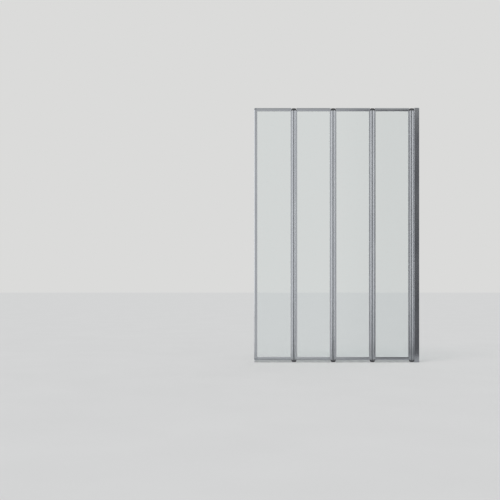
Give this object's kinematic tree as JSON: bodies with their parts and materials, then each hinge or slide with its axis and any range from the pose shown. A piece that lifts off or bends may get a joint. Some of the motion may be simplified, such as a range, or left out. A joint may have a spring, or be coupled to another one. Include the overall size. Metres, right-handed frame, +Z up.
{
  "type": "folding bath screen",
  "caption": "Framed glass bath screen on a wall profile; its panels join at double-pivot hinges and fold flat against one another.",
  "frame": {"origin": "on the wall face, at the bath's rim and in the middle of the screen's thickness", "axes": "+X into the wall, so the open panels reach along -X; +Z up along the pivots; +Y towards the bath, away from the room"},
  "size_m": [0.908, 0.0214, 1.4],
  "materials": {
    "polished_aluminium": "polished bright silver",
    "clear_toughened_glass": "clear",
    "black_nylon": "satin moulded",
    "dark_nylon": "moulded",
    "grey_acetal": "smooth",
    "grey_abs": "silver grey moulded",
    "grey_vinyl": "soft satin",
    "clear_vinyl": "translucent",
    "stainless_steel": "bright"
  },
  "bodies": {
    "wall_mount": {"wall_profile": "polished_aluminium", "wall_profile_cap": "grey_abs", "hinge_post": "polished_aluminium", "post_bushes": "grey_acetal", "post_pivot_screws": "stainless_steel", "fixing_screws": "stainless_steel", "screw_caps": "grey_abs"},
    "link_1": {"hinge_links_1": "black_nylon", "joint_seal_1": "grey_vinyl"},
    "panel_1": {"wall_stile_1": "polished_aluminium", "free_stile_1": "polished_aluminium", "top_rail_1": "polished_aluminium", "bottom_rail_1": "polished_aluminium", "glass_1": "clear_toughened_glass", "glazing_gasket_1": "grey_vinyl", "rim_seal_1": "clear_vinyl", "corner_keys_1": "dark_nylon", "corner_screws_1": "stainless_steel", "pivot_bushes_1": "grey_acetal", "pivot_screws_1": "stainless_steel"},
    "link_2": {"hinge_links_2": "black_nylon", "joint_seal_2": "grey_vinyl"},
    "panel_2": {"wall_stile_2": "polished_aluminium", "free_stile_2": "polished_aluminium", "top_rail_2": "polished_aluminium", "bottom_rail_2": "polished_aluminium", "glass_2": "clear_toughened_glass", "glazing_gasket_2": "grey_vinyl", "rim_seal_2": "clear_vinyl", "corner_keys_2": "dark_nylon", "corner_screws_2": "stainless_steel", "pivot_bushes_2": "grey_acetal", "pivot_screws_2": "stainless_steel"},
    "link_3": {"hinge_links_3": "black_nylon", "joint_seal_3": "grey_vinyl"},
    "panel_3": {"wall_stile_3": "polished_aluminium", "free_stile_3": "polished_aluminium", "top_rail_3": "polished_aluminium", "bottom_rail_3": "polished_aluminium", "glass_3": "clear_toughened_glass", "glazing_gasket_3": "grey_vinyl", "rim_seal_3": "clear_vinyl", "corner_keys_3": "dark_nylon", "corner_screws_3": "stainless_steel", "pivot_bushes_3": "grey_acetal", "pivot_screws_3": "stainless_steel"},
    "link_4": {"hinge_links_4": "black_nylon", "joint_seal_4": "grey_vinyl"},
    "panel_4": {"wall_stile_4": "polished_aluminium", "free_stile_4": "polished_aluminium", "top_rail_4": "polished_aluminium", "bottom_rail_4": "polished_aluminium", "glass_4": "clear_toughened_glass", "glazing_gasket_4": "grey_vinyl", "rim_seal_4": "clear_vinyl", "corner_keys_4": "dark_nylon", "corner_screws_4": "stainless_steel", "pivot_bushes_4": "grey_acetal", "pivot_screws_4": "stainless_steel", "end_caps": "grey_abs"}
  },
  "joints": [
    {"name": "post_pivot", "type": "hinge", "parent": "wall_mount", "child": "link_1", "pos_m": [-0.0338, 0, 0.7], "axis": [0, 0, 1], "range_deg": [-45, 45]},
    {"name": "panel_1_wall_pivot", "type": "hinge", "parent": "link_1", "child": "panel_1", "pos_m": [-0.0482, 0, 0.7], "axis": [0, 0, 1], "range_deg": [-45, 45]},
    {"name": "panel_1_free_pivot", "type": "hinge", "parent": "panel_1", "child": "link_2", "pos_m": [-0.2498, 0, 0.7], "axis": [0, 0, -1], "range_deg": [-90, 90]},
    {"name": "panel_2_wall_pivot", "type": "hinge", "parent": "link_2", "child": "panel_2", "pos_m": [-0.2642, 0, 0.7], "axis": [0, 0, -1], "range_deg": [-90, 90]},
    {"name": "panel_2_free_pivot", "type": "hinge", "parent": "panel_2", "child": "link_3", "pos_m": [-0.4658, 0, 0.7], "axis": [0, 0, 1], "range_deg": [-90, 90]},
    {"name": "panel_3_wall_pivot", "type": "hinge", "parent": "link_3", "child": "panel_3", "pos_m": [-0.4802, 0, 0.7], "axis": [0, 0, 1], "range_deg": [-90, 90]},
    {"name": "panel_3_free_pivot", "type": "hinge", "parent": "panel_3", "child": "link_4", "pos_m": [-0.6818, 0, 0.7], "axis": [0, 0, -1], "range_deg": [-90, 90]},
    {"name": "panel_4_wall_pivot", "type": "hinge", "parent": "link_4", "child": "panel_4", "pos_m": [-0.6962, 0, 0.7], "axis": [0, 0, -1], "range_deg": [-90, 90]}
  ]
}
